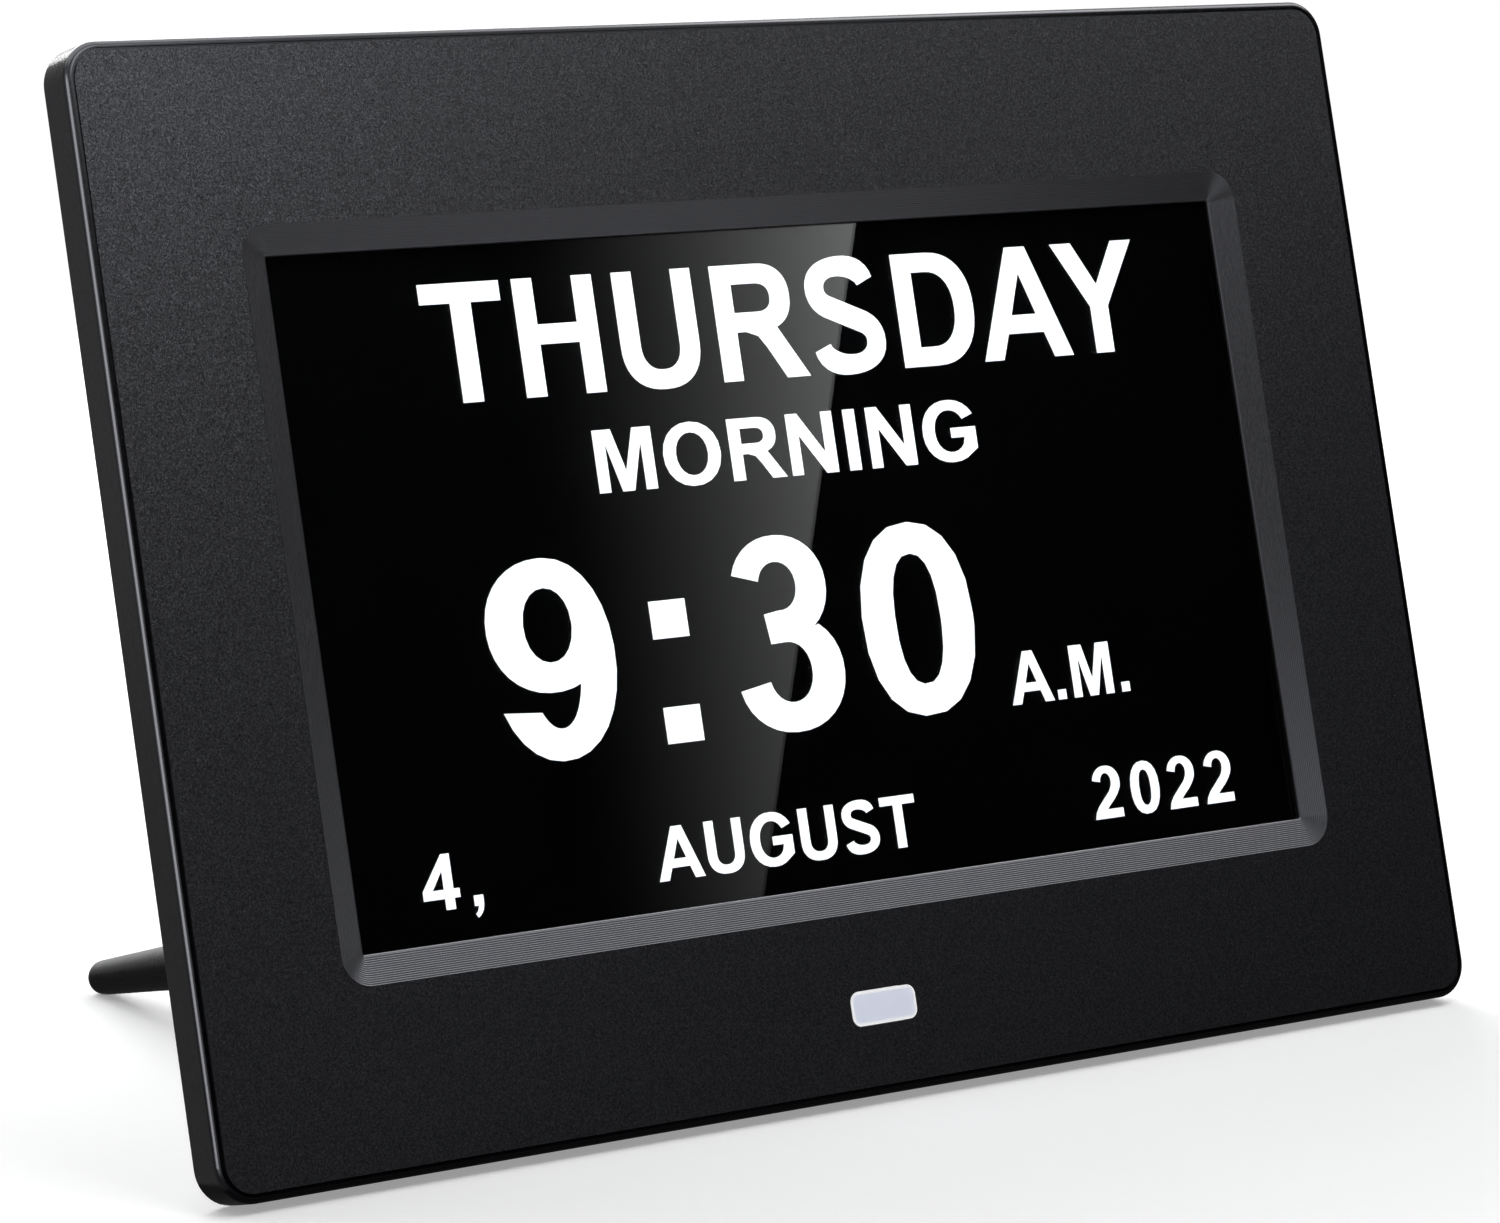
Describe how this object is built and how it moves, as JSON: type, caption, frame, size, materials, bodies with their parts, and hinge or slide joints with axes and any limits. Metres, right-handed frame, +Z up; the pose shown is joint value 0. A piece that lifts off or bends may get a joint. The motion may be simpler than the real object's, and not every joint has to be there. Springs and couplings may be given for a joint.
{
  "type": "day clock",
  "caption": "Display day clock in a thin black bezel case that leans back on a screw-in rear peg, with sprung rear keys and wall keyholes.",
  "frame": {"origin": "bottom centre of the whole clock's box, on the surface that it stands on", "axes": "+X to the viewer's right along the case's width, +Y from front to back, +Z up; the face looks towards -Y and leans back about X"},
  "size_m": [0.2056, 0.1204, 0.1414],
  "materials": {
    "bezel_plastic": "black ABS, spark-eroded grain on the face, satin side walls",
    "cover_plastic": "black ABS, fine spark-eroded grain",
    "key_plastic": "black ABS, satin",
    "peg_plastic": "black ABS, satin",
    "screen_glass": "clear gloss glass, dark tinted",
    "gasket_foam": "black closed-cell foam tape",
    "panel_glass": "black display cell",
    "display_light": "white light guide",
    "steel": "bright zinc-plated or stamped steel",
    "brass": "turned brass",
    "window_acrylic": "pale milky acrylic, polished",
    "lamp_epoxy": "clear epoxy",
    "receiver_epoxy": "dark infra-red pass epoxy",
    "board_laminate": "green solder mask on glass epoxy",
    "chip_resin": "black moulded epoxy",
    "ferrite": "dark sintered ferrite",
    "capacitor_can": "plain aluminium can",
    "socket_plastic": "black moulded nylon",
    "plug_nylon": "natural nylon",
    "cable_film": "polyester flat cable",
    "wire_insulation": "soft PVC insulation",
    "cone_paper": "pressed paper cone",
    "washer_rubber": "black rubber"
  },
  "bodies": {
    "case": {"front_bezel": "bezel_plastic", "rear_cover": "cover_plastic", "cover_screws": "steel", "lens_gasket": "gasket_foam", "screen_lens": "screen_glass", "panel_frame": "steel", "panel_cell": "panel_glass", "backlight_unit": "display_light", "panel_straps": "steel", "strap_screws": "steel", "sensor_window": "window_acrylic", "sensor_board": "board_laminate", "infrared_receiver": "receiver_epoxy", "status_lamp": "lamp_epoxy", "sensor_cable": "cable_film", "main_board": "board_laminate", "processor_chip": "chip_resin", "memory_chip": "chip_resin", "power_coil": "ferrite", "power_capacitors": "capacitor_can", "coin_cell_holder": "socket_plastic", "coin_cell": "steel", "power_inlet": "socket_plastic", "power_pin": "brass", "usb_socket": "steel", "usb_tongue": "socket_plastic", "card_socket": "steel", "ribbon_plug": "plug_nylon", "panel_ribbon": "cable_film", "key_board": "board_laminate", "key_switches": "chip_resin", "key_cable": "cable_film", "board_screws": "steel", "speaker_frame": "steel", "speaker_cone": "cone_paper", "speaker_magnet": "ferrite", "speaker_plug": "plug_nylon", "speaker_wires": "wire_insulation", "peg_insert": "brass"},
    "washer": {"peg_washer": "washer_rubber"},
    "peg": {"stand_peg": "peg_plastic", "peg_stud": "steel"},
    "key_ok": {"key_ok": "key_plastic", "plunger_ok": "plug_nylon"},
    "key_up": {"key_up": "key_plastic", "plunger_up": "plug_nylon"},
    "key_down": {"key_down": "key_plastic", "plunger_down": "plug_nylon"},
    "key_left": {"key_left": "key_plastic", "plunger_left": "plug_nylon"},
    "key_right": {"key_right": "key_plastic", "plunger_right": "plug_nylon"},
    "key_menu": {"key_menu": "key_plastic", "plunger_menu": "plug_nylon"},
    "key_power": {"key_power": "key_plastic", "plunger_power": "plug_nylon"}
  },
  "joints": [
    {"name": "press_ok", "type": "slide", "parent": "case", "child": "key_ok", "axis": [0, -0.969, 0.247], "range_m": [0, 0.0005], "stiffness_N_per_m": 3000},
    {"name": "press_up", "type": "slide", "parent": "case", "child": "key_up", "axis": [0, -0.969, 0.247], "range_m": [0, 0.0005], "stiffness_N_per_m": 3000},
    {"name": "press_down", "type": "slide", "parent": "case", "child": "key_down", "axis": [0, -0.969, 0.247], "range_m": [0, 0.0005], "stiffness_N_per_m": 3000},
    {"name": "press_left", "type": "slide", "parent": "case", "child": "key_left", "axis": [0, -0.969, 0.247], "range_m": [0, 0.0005], "stiffness_N_per_m": 3000},
    {"name": "press_right", "type": "slide", "parent": "case", "child": "key_right", "axis": [0, -0.969, 0.247], "range_m": [0, 0.0005], "stiffness_N_per_m": 3000},
    {"name": "press_menu", "type": "slide", "parent": "case", "child": "key_menu", "axis": [0, -0.969, 0.247], "range_m": [0, 0.0005], "stiffness_N_per_m": 3000},
    {"name": "press_power", "type": "slide", "parent": "case", "child": "key_power", "axis": [0, -0.969, 0.247], "range_m": [0, 0.0005], "stiffness_N_per_m": 3000},
    {"name": "washer_travel", "type": "slide", "parent": "case", "child": "washer", "axis": [0, 0.969, -0.247], "range_m": [0, 0.006]},
    {"name": "peg_unscrew", "type": "hinge", "parent": "washer", "child": "peg", "pos_m": [-0.0532, -0.03297, 0.02562], "axis": [0, 0.969, -0.247], "range_deg": [0, 2161]}
  ],
  "couplings": [
    {"joint": "peg_unscrew", "follows": "washer_travel", "rad_per_m": 6283.2}
  ]
}
